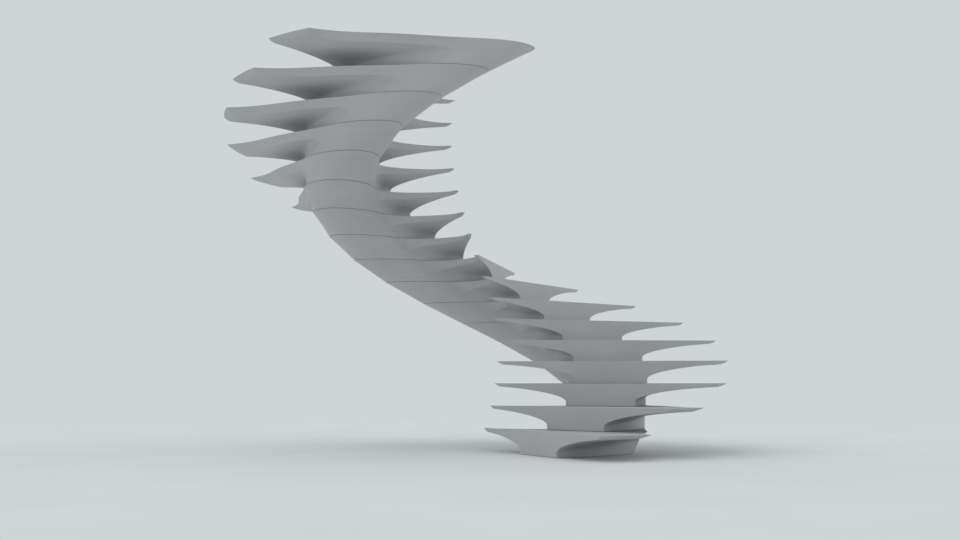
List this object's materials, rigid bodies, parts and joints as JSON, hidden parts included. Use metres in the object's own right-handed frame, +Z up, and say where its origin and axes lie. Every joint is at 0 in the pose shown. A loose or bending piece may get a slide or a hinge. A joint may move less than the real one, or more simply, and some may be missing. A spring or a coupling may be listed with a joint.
{
  "type": "helical staircase",
  "caption": "Free-standing helical staircase of stacked cast modules, each a winged tread on a T-shaped stem, with a smooth twisting soffit and a bolted base plate.",
  "frame": {"origin": "on the floor, at the vertical axis that the treads turn round", "axes": "+Z up; +X along the riser edge of the lowest tread, from the stair axis outwards; +Y the walking direction over the lowest tread"},
  "size_m": [4, 4, 2.975],
  "materials": {
    "cast_concrete": "smooth fair-faced casting, sealed, faint satin sheen",
    "mortar": "fine dark grout, matte",
    "galvanised_steel": "zinc-coated, dull"
  },
  "bodies": {
    "root": {"step_01": "cast_concrete", "step_02": "cast_concrete", "step_03": "cast_concrete", "step_04": "cast_concrete", "step_05": "cast_concrete", "step_06": "cast_concrete", "step_07": "cast_concrete", "step_08": "cast_concrete", "step_09": "cast_concrete", "step_10": "cast_concrete", "step_11": "cast_concrete", "step_12": "cast_concrete", "step_13": "cast_concrete", "step_14": "cast_concrete", "step_15": "cast_concrete", "step_16": "cast_concrete", "step_17": "cast_concrete", "bedding_joint_01": "mortar", "bedding_joint_02": "mortar", "bedding_joint_03": "mortar", "bedding_joint_04": "mortar", "bedding_joint_05": "mortar", "bedding_joint_06": "mortar", "bedding_joint_07": "mortar", "bedding_joint_08": "mortar", "bedding_joint_09": "mortar", "bedding_joint_10": "mortar", "bedding_joint_11": "mortar", "bedding_joint_12": "mortar", "bedding_joint_13": "mortar", "bedding_joint_14": "mortar", "bedding_joint_15": "mortar", "bedding_joint_16": "mortar", "bedding_joint_17": "mortar", "pocket_plugs": "mortar", "base_plate": "galvanised_steel", "base_tie_rods": "galvanised_steel", "tie_rods": "galvanised_steel", "tie_washers": "galvanised_steel", "tie_nuts": "galvanised_steel", "cast_in_sockets": "galvanised_steel"}
  },
  "joints": []
}
